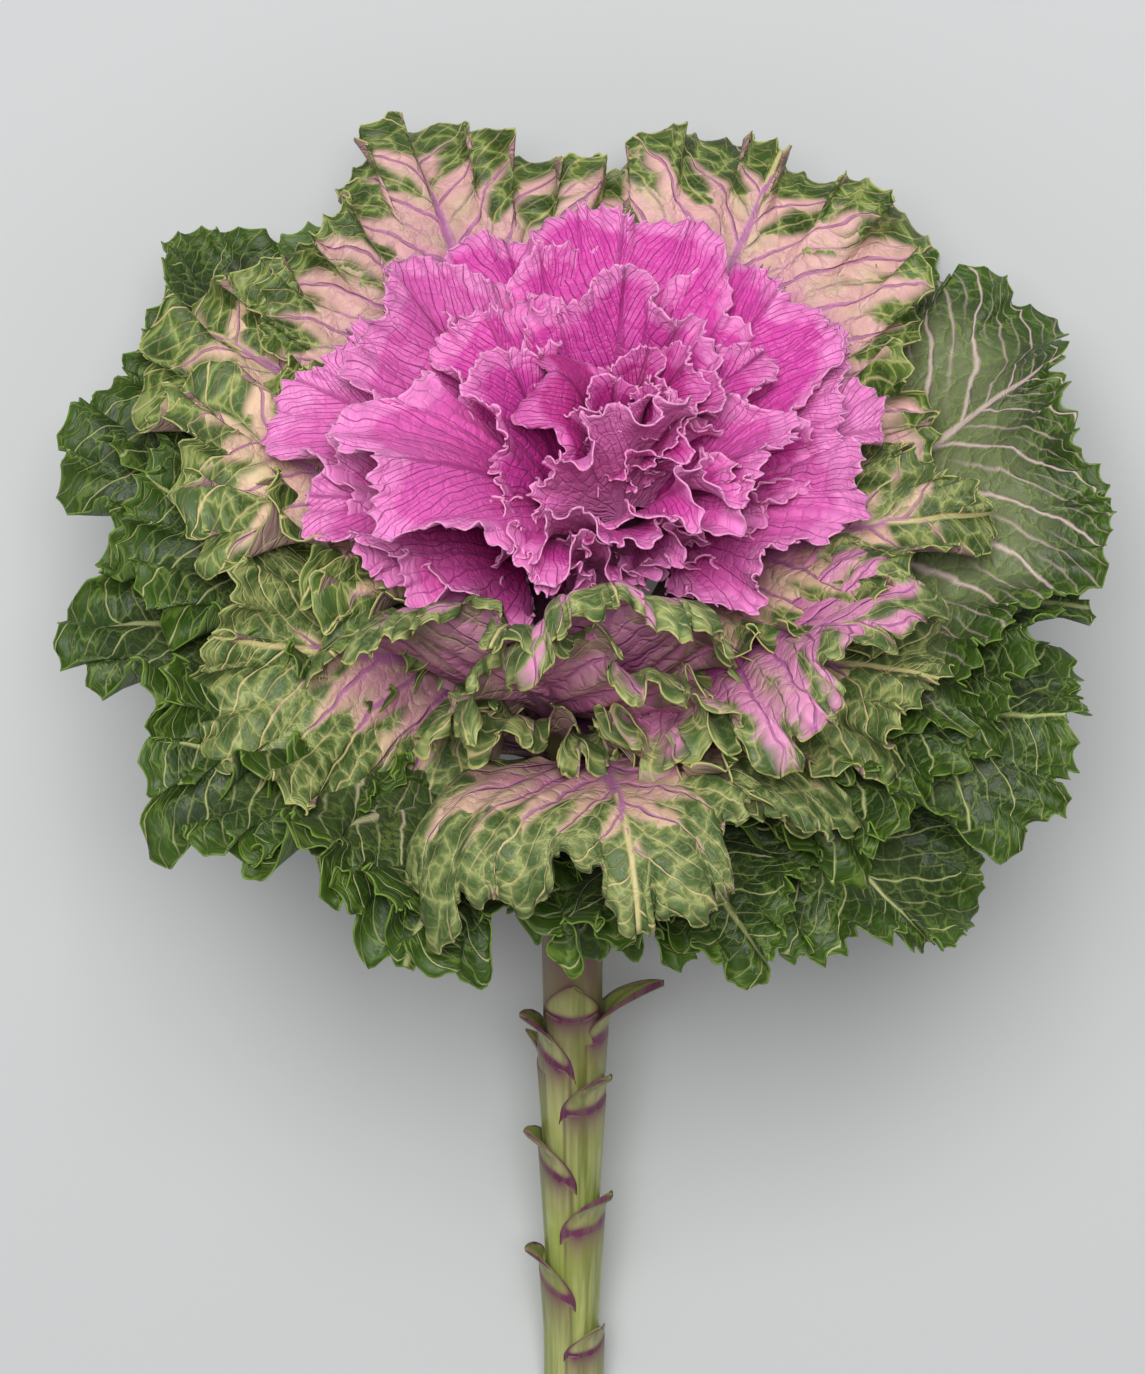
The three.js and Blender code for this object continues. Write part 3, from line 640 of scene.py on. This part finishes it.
class Graph:
    """Adds nodes to a tree. An input may be a number, a colour or another node's output."""

    def __init__(self, tree):
        self.tree = tree

    def feed(self, node, inputs):
        for key, value in inputs.items():
            if isinstance(value, bpy.types.NodeSocket):
                self.tree.links.new(value, node.inputs[key])
            else:
                node.inputs[key].default_value = value

    def add(self, kind, inputs, output=0, **settings):
        node = self.tree.nodes.new(kind)
        for key, value in settings.items():
            setattr(node, key, value)
        self.feed(node, inputs)
        return node.outputs[output]

    def group(self, tree, inputs):
        node = self.tree.nodes.new("ShaderNodeGroup")
        node.node_tree = tree
        self.feed(node, inputs)
        return node.outputs

    def math(self, operation, a, b=0.0, clamp=False):
        return self.add("ShaderNodeMath", {0: a, 1: b}, operation=operation, use_clamp=clamp)

    def plus(self, first, *others):
        for other in others:
            first = self.math("ADD", first, other)
        return first

    def minus(self, a, b):
        return self.math("SUBTRACT", a, b)

    def times(self, a, b):
        return self.math("MULTIPLY", a, b)

    def choose(self, factor, a, b):
        """The number a where the factor is 0, and b where it is 1."""
        return self.add("ShaderNodeMix", {0: factor, 2: a, 3: b}, data_type="FLOAT")

    def off_whole(self, number):
        """How far a number is from the nearest whole one: 0 to a half."""
        return self.math("ABSOLUTE", self.minus(self.math("FRACT", self.plus(number, 0.5)), 0.5))

    def ramp(self, value, start, end, low=0.0, high=1.0):
        """A soft step: low where value is at start, high where it is at end."""
        sockets = {"Value": value, "From Min": start, "From Max": end, "To Min": low, "To Max": high}
        return self.add("ShaderNodeMapRange", sockets, interpolation_type="SMOOTHSTEP")

    def line(self, distance, core, edge):
        """A drawn line: 1 within core of its middle, 0 beyond edge, and fading evenly between."""
        sockets = {"Value": distance, "From Min": core, "From Max": edge}
        return self.minus(1.0, self.add("ShaderNodeMapRange", sockets))

    def shift(self, vector, by):
        return self.add("ShaderNodeVectorMath", {0: vector, 1: by}, operation="ADD")

    def scale(self, vector, by):
        return self.add("ShaderNodeVectorMath", {0: vector, 3: by}, operation="SCALE")

    def parts(self, vector):
        """The x and y of a vector."""
        return self.add("ShaderNodeSeparateXYZ", {0: vector}, slice(0, 2))

    def mix(self, factor, a, b):
        return self.add("ShaderNodeMix", {0: factor, 6: a, 7: b}, output=2, data_type="RGBA")

    def noise(self, vector, scale, detail=3.0, output=0):
        return self.add("ShaderNodeTexNoise", {"Vector": vector, "Scale": scale, "Detail": detail}, output)

    def cells(self, vector, scale, feature, output):
        return self.add("ShaderNodeTexVoronoi", {"Vector": vector, "Scale": scale}, output, feature=feature)

    def mark(self, name):
        return self.add("ShaderNodeAttribute", {}, "Fac", attribute_name=name)


def new_group(name, inputs, outputs):
    """An empty node group with named sockets, and a Graph to fill it."""
    tree = bpy.data.node_groups.new(name, "ShaderNodeTree")
    for socket, (kind, value) in inputs.items():
        made = tree.interface.new_socket(socket, in_out="INPUT", socket_type=kind)
        if value is not None:
            made.default_value = value
    for socket, kind in outputs.items():
        tree.interface.new_socket(socket, in_out="OUTPUT", socket_type=kind)
    entry = tree.nodes.new("NodeGroupInput")
    leave = tree.nodes.new("NodeGroupOutput")
    return tree, Graph(tree), entry.outputs, leave.inputs


def put_out(tree, leave, results):
    """Links each result to the group's socket of that name."""
    for socket, value in results.items():
        tree.links.new(value, leave[socket])


def palette(**tints):
    """Colours by name. Each is given as a screen shows it, 0 to 255, and made linear for the shader."""
    linear = {name: (*[(value / 255) ** 2.2 for value in tint], 1.0) for name, tint in tints.items()}
    return SimpleNamespace(**linear)


FLOAT, VECTOR, COLOUR = "NodeSocketFloat", "NodeSocketVector", "NodeSocketColor"
print("node short hand ready")

# %% [markdown]
# Veins are what makes a kale leaf. On the real leaf a midrib tapers to the tip, side veins leave it in
# pairs, those at the blade's foot fan out like fingers, each forks towards the margin, and a net of fine
# veins closes the blade into cells. The group below draws all that from the place on the flattened leaf.
# Side veins are the lines where one number, counted along the midrib, is whole. Behind the foot that
# number turns into an angle, so the lines become rays.

# %% Node group: the vein network
SEED_STEP = 97.0
WANDER_SCALE, WANDER = 0.07, 6.0
SHIVER_SCALE, SHIVER = 0.5, 2.4
STRAIGHT_NEAR_MIDRIB = 9
STAGGER = 0.4
VEIN_BOW = 0.006
FINGER = 0.36
PITCH_SHARE = 0.72
SMALL_CELLS = 2.6

vein_inputs = {"Leaf": (VECTOR, None), "Margin": (FLOAT, 20.0), "Spacing": (FLOAT, 11.0),
               "Slope": (FLOAT, 1.0), "Width": (FLOAT, 0.8), "Cell size": (FLOAT, 5.5), "Seed": (FLOAT, 0.0)}
vein_outputs = dict.fromkeys(("Main", "Net", "Dome", "Cell", "Between"), FLOAT)
veins, g, inp, out = new_group("leaf veins", vein_inputs, vein_outputs)
flat = g.scale(inp["Leaf"], UV_MM)
seeded = g.shift(flat, g.add("ShaderNodeCombineXYZ", {"Z": g.times(inp["Seed"], SEED_STEP)}))
wander = g.shift(g.noise(seeded, WANDER_SCALE, 3.0, "Color"), (-0.5, -0.5, -0.5))
wander = g.scale(wander, WANDER)
shiver = g.scale(g.noise(seeded, SHIVER_SCALE, 2.0, "Color"), SHIVER)
bent = g.shift(g.shift(seeded, wander), shiver)

# Where a point lies, for the side veins: they start staggered left and right, slope up and bow back.
flat_x, flat_y = g.parts(flat)
drift_x, drift_y = g.parts(wander)
x = g.plus(flat_x, g.times(drift_x, g.ramp(g.math("ABSOLUTE", flat_x), 0, STRAIGHT_NEAR_MIDRIB)))
apart = g.math("ABSOLUTE", x)
offset = g.times(g.math("GREATER_THAN", x, 0), g.times(inp["Spacing"], STAGGER))
y = g.plus(flat_y, drift_y, offset)
rise = g.minus(y, g.times(apart, inp["Slope"]))
rise = g.plus(rise, g.times(g.math("POWER", apart, 2.0), VEIN_BOW))
counted = g.math("DIVIDE", rise, inp["Spacing"])
turned_by = g.minus(g.math("ARCTAN2", apart, y), g.math("ARCTAN2", 1.0, inp["Slope"]))
fingers = g.math("DIVIDE", turned_by, -FINGER)
ahead = g.math("GREATER_THAN", counted, 0)
lines = g.choose(ahead, fingers, counted)
from_foot = g.math("SQRT", g.plus(g.math("POWER", apart, 2.0), g.math("POWER", y, 2.0)))
pitch = g.choose(ahead, g.times(from_foot, FINGER), g.times(inp["Spacing"], PITCH_SHARE))


def line_distance(times):
    """How far, in millimetres, the nearest line is, when there are so many lines for each side vein."""
    return g.times(g.off_whole(g.times(lines, times)), g.math("DIVIDE", pitch, times))


# Side veins, their forks and their twigs: each order is finer, and starts nearer to the margin.
width = g.times(inp["Width"], g.ramp(inp["Margin"], 0, 45, 0.3, 1.0))
side_veins = g.line(line_distance(1.0), g.times(width, 0.3), g.times(width, 1.5))
forks = g.line(line_distance(2.0), 0.0, g.times(width, 1.3))
forks = g.times(forks, g.ramp(inp["Margin"], 34, 20, 0.0, 0.75))
twigs = g.line(line_distance(4.0), 0.0, g.times(width, 1.1))
twigs = g.times(twigs, g.ramp(inp["Margin"], 18, 8, 0.0, 0.5))
midrib_width = g.plus(0.25, g.times(inp["Margin"], 0.026))
midrib = g.line(g.math("ABSOLUTE", flat_x), g.times(midrib_width, 0.45), g.times(midrib_width, 1.5))
main = g.math("MAXIMUM", g.math("MAXIMUM", side_veins, forks), g.math("MAXIMUM", twigs, midrib))

# The net is the walls of a cell pattern, large cells and small ones; each large cell domes up inside them.
cell_scale = g.math("DIVIDE", 1.0, inp["Cell size"])
walls = g.cells(bent, cell_scale, "DISTANCE_TO_EDGE", "Distance")
small_walls = g.cells(bent, g.times(cell_scale, SMALL_CELLS), "DISTANCE_TO_EDGE", "Distance")
net = g.math("MAXIMUM", g.ramp(walls, 0.07, 0.0, 0.0, 0.8), g.ramp(small_walls, 0.09, 0.0, 0.0, 0.3))
dome = g.times(g.ramp(walls, 0.0, 0.24), g.ramp(main, 0.8, 0.0))
shade = g.add("ShaderNodeSeparateColor", {0: g.cells(bent, cell_scale, "F1", "Color")})
between = g.times(g.off_whole(lines), 2.0)
put_out(veins, out, {"Main": main, "Net": net, "Dome": dome, "Cell": shade, "Between": between})
print("vein group of", len(veins.nodes), "nodes")

# %% [markdown]
# Every leaf has the same skin over its colours: veins lie in shallow grooves and the cells between them
# puff up, the thin margin has a pale line, the underside is duller, and a wax bloom makes the gloss
# uneven. That is one group too, so all four kinds of leaf share it.

# %% Node group: the leaf's skin
MOTTLE_SCALE, FRAY_SCALE, GRAIN_SCALE = 40.0, 90.0, 160.0
DARKEST, MOTTLE, LEAF_TONE = 0.68, 0.48, 0.16
GLOSSIEST, WAX = 0.36, 0.25
VEIN_GROOVE, NET_GROOVE, PUFF, GRAIN = 0.55, 0.25, 0.5, 0.12

skin_inputs = {"Colour": (COLOUR, None), "Margin colour": (COLOUR, None), "Under colour": (COLOUR, None),
               "Leaf": (VECTOR, None), "Margin": (FLOAT, 20.0), "Under": (FLOAT, 0.0), "Main": (FLOAT, 0.0),
               "Net": (FLOAT, 0.0), "Dome": (FLOAT, 0.0), "Under share": (FLOAT, 0.5),
               "Margin width": (FLOAT, 0.6), "Tone": (FLOAT, 0.5)}
skin_outputs = {"Colour": COLOUR, "Roughness": FLOAT, "Height": FLOAT}
skin, g, inp, out = new_group("leaf skin", skin_inputs, skin_outputs)
mottle = g.noise(inp["Leaf"], MOTTLE_SCALE, 4.0)
fray = g.times(g.noise(inp["Leaf"], FRAY_SCALE, 2.0), inp["Margin width"])
pale_line = g.ramp(g.minus(inp["Margin"], fray), inp["Margin width"], 0.0)
body = g.mix(g.times(inp["Under"], inp["Under share"]), inp["Colour"], inp["Under colour"])
brightness = g.plus(DARKEST, g.times(mottle, MOTTLE), g.times(inp["Tone"], LEAF_TONE))
body = g.add("ShaderNodeHueSaturation", {"Color": body, "Value": brightness})
body = g.mix(pale_line, body, inp["Margin colour"])
roughness = g.plus(GLOSSIEST, g.times(mottle, WAX))
groove = g.plus(g.times(inp["Main"], -VEIN_GROOVE), g.times(inp["Net"], -NET_GROOVE))
grain = g.times(g.noise(inp["Leaf"], GRAIN_SCALE, 2.0), GRAIN)
height = g.plus(groove, g.times(inp["Dome"], PUFF), grain)
put_out(skin, out, {"Colour": body, "Roughness": roughness, "Height": height})
print("skin group of", len(skin.nodes), "nodes")

# %% [markdown]
# The four leaf materials differ in colour and in where it lies. Green leaves are dark with pale veins.
# Variegated ones are pink and cream inside, and green cells fill in towards the margin, furthest between
# two veins. Magenta ones have veins darker than the blade and a pale fringe. The heart is the same, deeper.

# %% Leaf materials: what all of them share


def start_material(name, specular=0.35, sheen=0.03):
    """A material with an empty graph but for its surface shader."""
    material = bpy.data.materials.new(name)
    material.use_nodes = True
    shader = material.node_tree.nodes["Principled BSDF"]
    shader.inputs["Specular IOR Level"].default_value = specular
    shader.inputs["Sheen Weight"].default_value = sheen
    return material, Graph(material.node_tree), shader


def start_leaf(name, spacing, slope, width, cell_size, pink_width=0.0):
    """What every leaf material starts with: its own coordinates, its marks and its veins."""
    material, g, shader = start_material(name)
    leaf = SimpleNamespace(place=g.add("ShaderNodeUVMap", {}, uv_map="leaf"))
    for mark in ("margin", "under", "rho", "tone", "pink"):
        setattr(leaf, mark, g.mark(mark))
    wide = g.plus(width, g.times(leaf.pink, pink_width))
    network = g.group(veins, {"Leaf": leaf.place, "Margin": leaf.margin, "Seed": leaf.tone,
                              "Spacing": spacing, "Slope": slope, "Width": wide, "Cell size": cell_size})
    for output in vein_outputs:
        setattr(leaf, output.lower(), network[output])
    return material, g, shader, leaf


def finish_leaf(g, shader, leaf, body, margin_colour, under_colour, under_share, bump, margin_width=0.3):
    """Puts the shared skin over a leaf's colours and wires it to the shader."""
    skinned = g.group(skin, {"Colour": body, "Margin colour": margin_colour, "Under colour": under_colour,
                             "Leaf": leaf.place, "Margin": leaf.margin, "Under": leaf.under,
                             "Tone": leaf.tone, "Main": leaf.main, "Net": leaf.net, "Dome": leaf.dome,
                             "Under share": under_share, "Margin width": margin_width})
    wire(g, shader, skinned["Colour"], skinned["Roughness"], skinned["Height"], bump)


def wire(g, shader, body, roughness, height, bump):
    """Links colour, roughness and bump, whose height is given in millimetres, to the surface shader."""
    g.tree.links.new(body, shader.inputs["Base Color"])
    g.tree.links.new(roughness, shader.inputs["Roughness"])
    normal = g.add("ShaderNodeBump", {"Height": height, "Distance": bump * MM, "Strength": 1.0})
    g.tree.links.new(normal, shader.inputs["Normal"])


print("shared parts ready")

# %% Leaf materials: green
GREEN = palette(
    deep_cell=(12, 30, 7), light_cell=(44, 70, 20), rim=(78, 108, 26), pale_blade=(142, 150, 108),
    net=(130, 152, 66), foot_vein=(186, 164, 150), outer_vein=(176, 190, 104),
    pink_vein=(228, 192, 202), leaf_stalk=(150, 112, 130), margin=(104, 132, 46), under=(90, 112, 64),
)


def green_material():
    """Dark green, darker in the cells, with yellow-green veins, pinkish towards the leaf stalk."""
    material, g, shader, leaf = start_leaf("green leaf", spacing=12, slope=0.9, width=0.4, cell_size=5.5,
                                          pink_width=0.25)
    shade = g.plus(g.times(leaf.cell, 0.35), g.times(g.noise(leaf.place, 6.0), 0.6))
    body = g.mix(shade, GREEN.deep_cell, GREEN.light_cell)
    body = g.mix(g.ramp(leaf.margin, 12, 0, 0.0, 0.35), body, GREEN.rim)
    body = g.mix(g.times(leaf.pink, g.ramp(leaf.margin, 5, 24, 0.0, 0.5)), body, GREEN.pale_blade)
    body = g.mix(g.times(leaf.net, 0.38), body, GREEN.net)
    vein = g.mix(g.ramp(leaf.rho, 0.2, 0.75), GREEN.foot_vein, GREEN.outer_vein)
    vein = g.mix(g.times(leaf.pink, 0.8), vein, GREEN.pink_vein)
    body = g.mix(g.times(leaf.main, 0.68), body, vein)
    body = g.mix(g.ramp(leaf.rho, 0.22, -0.1, 0.0, 0.8), body, GREEN.leaf_stalk)
    finish_leaf(g, shader, leaf, body, GREEN.margin, GREEN.under, under_share=0.6, bump=0.45)
    return material


print("green ready")

# %% Leaf materials: variegated
# leaf_stalk of the variegated leaves is partly the leaf stalk's own purple and partly painted shade: it is
# dark where the overlapping leaves shade the leaf's foot.
VARIEGATED = palette(
    cream=(208, 184, 138), pink_cream=(212, 136, 176), flesh=(196, 138, 150), pink_flesh=(184, 60, 148),
    green_tinge=(176, 178, 118), pink_net=(196, 140, 172), purple_vein=(160, 84, 152),
    back_deep=(26, 48, 12), back_light=(60, 84, 28), front_deep=(36, 62, 22), front_light=(84, 110, 58),
    back_halo=(86, 108, 42), front_halo=(120, 132, 78), net=(188, 190, 120), cream_vein=(212, 194, 138),
    inner_vein=(176, 100, 150), leaf_stalk=(92, 40, 76), margin=(172, 174, 104), under=(178, 120, 142),
)
# How many millimetres each thing brings the green in from the margin, or keeps it out.
PATCHES, CELLS, FRONT, PINK, TONGUES = 30, 9, 5, 10, 15
GREEN_ENDS, GREEN_WHOLE = 13, 5


def variegated_material():
    """Pink and cream inside, with purple veins; green cells with pale halos towards the margin."""
    colours = VARIEGATED
    material, g, shader, leaf = start_leaf("variegated leaf", spacing=11, slope=1.1, width=0.5,
                                          cell_size=5.0)
    front = g.mark("front")
    patches = g.times(g.minus(g.noise(leaf.place, 5.0, 2.0), 0.5), PATCHES)
    cell = g.times(g.minus(leaf.cell, 0.5), CELLS)
    depth = g.minus(g.plus(leaf.margin, patches, cell), g.times(front, FRONT))
    depth = g.minus(g.plus(depth, g.times(leaf.pink, PINK)), g.times(leaf.between, TONGUES))
    greenness = g.ramp(depth, GREEN_ENDS, GREEN_WHOLE)

    cream = g.mix(leaf.pink, colours.cream, colours.pink_cream)
    flesh = g.mix(leaf.pink, colours.flesh, colours.pink_flesh)
    tinge = g.times(g.ramp(g.noise(leaf.place, 11.0, 3.0), 0.4, 0.62, 0.0, 0.6), leaf.between)
    inner = g.mix(g.ramp(leaf.margin, 44, 16), flesh, cream)
    inner = g.mix(tinge, inner, colours.green_tinge)
    inner = g.mix(g.times(leaf.net, 0.3), inner, colours.pink_net)
    inner = g.mix(g.times(leaf.main, 0.75), inner, colours.purple_vein)

    shade = g.plus(g.times(leaf.cell, 0.4), g.times(g.noise(leaf.place, 9.0), 0.5))
    back_cell = g.mix(shade, colours.back_deep, colours.back_light)
    front_cell = g.mix(shade, colours.front_deep, colours.front_light)
    halo = g.mix(front, colours.back_halo, colours.front_halo)
    cells = g.mix(g.times(leaf.dome, 0.9), halo, g.mix(front, back_cell, front_cell))
    cells = g.mix(g.times(leaf.net, 0.45), cells, colours.net)
    vein = g.mix(g.ramp(leaf.margin, 26, 44), colours.cream_vein, colours.inner_vein)
    cells = g.mix(g.times(leaf.main, 0.75), cells, vein)

    body = g.mix(greenness, inner, cells)
    # Painted shade: the leaf's foot is darkened to a dark purple where the leaves that overlap it shade it.
    # Only the purple tint is the leaf stalk's own colour.
    body = g.mix(g.ramp(leaf.rho, 0.42, -0.1, 0.0, 0.8), body, colours.leaf_stalk)
    finish_leaf(g, shader, leaf, body, colours.margin, colours.under, under_share=0.45, bump=0.45)
    return material


print("variegated ready")

# %% Leaf materials: magenta and heart
MAGENTA = palette(
    deep=(150, 18, 104), bright=(196, 50, 150), pale=(230, 142, 200), vein=(124, 12, 88),
    margin=(226, 150, 196),
)
HEART = palette(
    deep=(104, 8, 62), bright=(168, 30, 118), pale=(214, 110, 180), vein=(92, 6, 60),
    margin=(226, 150, 196),
)


def magenta_material(name, colours, reach):
    """Deep at the foot, brighter outwards and pale at the fringe, with veins darker than the blade."""
    material, g, shader, leaf = start_leaf(name, spacing=8.0, slope=2.2, width=0.32, cell_size=3.6)
    ragged = g.times(g.minus(g.noise(leaf.place, 14.0, 2.0), 0.4), 16)
    fringe = g.minus(g.minus(leaf.margin, ragged), g.times(leaf.pink, reach))
    body = g.mix(g.ramp(leaf.rho, 0.05, 0.85), colours.deep, colours.bright)
    body = g.mix(g.times(leaf.pink, g.ramp(leaf.rho, 0.1, 0.8, 0.0, 0.45)), body, colours.pale)
    body = g.mix(g.ramp(fringe, reach, 0.0, 0.0, 0.6), body, colours.pale)
    body = g.mix(g.times(leaf.net, 0.15), body, colours.vein)
    body = g.mix(g.times(leaf.main, 0.6), body, colours.vein)
    finish_leaf(g, shader, leaf, body, colours.margin, colours.pale, under_share=0.5, bump=0.3,
                margin_width=0.4)
    return material


leaf_materials = {
    "green": green_material(),
    "variegated": variegated_material(),
    "magenta": magenta_material("magenta leaf", MAGENTA, 4.5),
    "heart": magenta_material("heart leaf", HEART, 3.0),
}
for kind, members in pieces.items():
    for piece in members:
        piece.data.materials.append(leaf_materials[kind])
print("leaf materials:", ", ".join(material.name for material in leaf_materials.values()))

# %% [markdown]
# The stalk is pale green with a waxy, streaky skin, purple under the head and at the ledges of its sheaths.
# The floor is plain.

# %% Stalk, core and floor materials
STREAKS = (520, 12, 520)
STALK = palette(
    dark_streak=(122, 134, 64), pale_streak=(190, 194, 124), fresh_patch=(146, 166, 62),
    dark_hollow=(112, 128, 48), pale_hollow=(166, 172, 88), dark_purple=(82, 28, 64),
    pale_purple=(122, 62, 94),
)
FLOOR_COLOUR = (0.55, 0.56, 0.565, 1)


def stalk_material():
    """Pale green, streaked along the stalk, purple where marked, and yellow-green in the hollows."""
    material, g, shader = start_material("stalk", 0.4)
    place = g.add("ShaderNodeTexCoord", {}, "Object")
    level = g.add("ShaderNodeMapping", {"Vector": place, "Rotation": (-STALK_SLOPE, 0, 0)})
    streak = g.noise(g.add("ShaderNodeMapping", {"Vector": level, "Scale": STREAKS}), 1.0, 4.0)
    patch = g.noise(place, 60.0, 3.0)
    bands = g.ramp(streak, 0.3, 0.7)
    body = g.mix(bands, STALK.dark_streak, STALK.pale_streak)
    body = g.mix(g.ramp(patch, 0.45, 0.65, 0.0, 0.6), body, STALK.fresh_patch)
    body = g.mix(g.mark("inner"), body, g.mix(patch, STALK.dark_hollow, STALK.pale_hollow))
    flush = g.math("MULTIPLY", g.mark("purple"), g.plus(0.8, g.times(bands, 0.3)), clamp=True)
    body = g.mix(flush, body, g.mix(patch, STALK.dark_purple, STALK.pale_purple))
    wire(g, shader, body, g.plus(GLOSSIEST, g.times(streak, 0.22)), streak, 0.25)
    return material


def floor_material():
    """Plain pale grey, matt."""
    material, _, shader = start_material("floor", 0.1, 0.0)
    shader.inputs["Base Color"].default_value = FLOOR_COLOUR
    shader.inputs["Roughness"].default_value = 0.9
    return material


stalk_skin = stalk_material()
for piece in (stalk, core, *stubs):
    piece.data.materials.append(stalk_skin)
print("stalk, core and stubs share", stalk_skin.name)

# %% [markdown]
# A floor that is only there to lie on, and soft light: a large lamp high above the head's far side, and an
# even pale world that fills the shadows.

# %% Floor, lights and world
FLOOR = 3.0
KEY_PLACE = (-0.12, 1.15, 2.35)
KEY_SIZE = 1.4
KEY_POWER = 72
WORLD_STRENGTH = 0.31

floor_mesh = bpy.data.meshes.new("floor")
floor_corners = [(-FLOOR, -FLOOR, 0), (FLOOR, -FLOOR, 0), (FLOOR, FLOOR, 0), (-FLOOR, FLOOR, 0)]
floor_mesh.from_pydata(floor_corners, [], [(0, 1, 2, 3)])
floor = bpy.data.objects.new("floor", floor_mesh)
bpy.context.scene.collection.objects.link(floor)
floor.data.materials.append(floor_material())

key_data = bpy.data.lights.new("key", "AREA")
key_data.size = KEY_SIZE
key_data.energy = KEY_POWER
key = bpy.data.objects.new("key", key_data)
way = Vector(KEY_PLACE) - aim
key.matrix_world = Matrix.Translation(KEY_PLACE) @ way.to_track_quat("Z", "Y").to_matrix().to_4x4()
bpy.context.scene.collection.objects.link(key)

world = bpy.data.worlds.new("world")
world.use_nodes = True
world.node_tree.nodes["Background"].inputs["Color"].default_value = (1, 1, 1, 1)
world.node_tree.nodes["Background"].inputs["Strength"].default_value = WORLD_STRENGTH
bpy.context.scene.world = world
bpy.context.scene.view_settings.view_transform = "Standard"
print("lamp of", KEY_POWER, "W and a world of strength", WORLD_STRENGTH)

# %% Close the script
print("scene built")
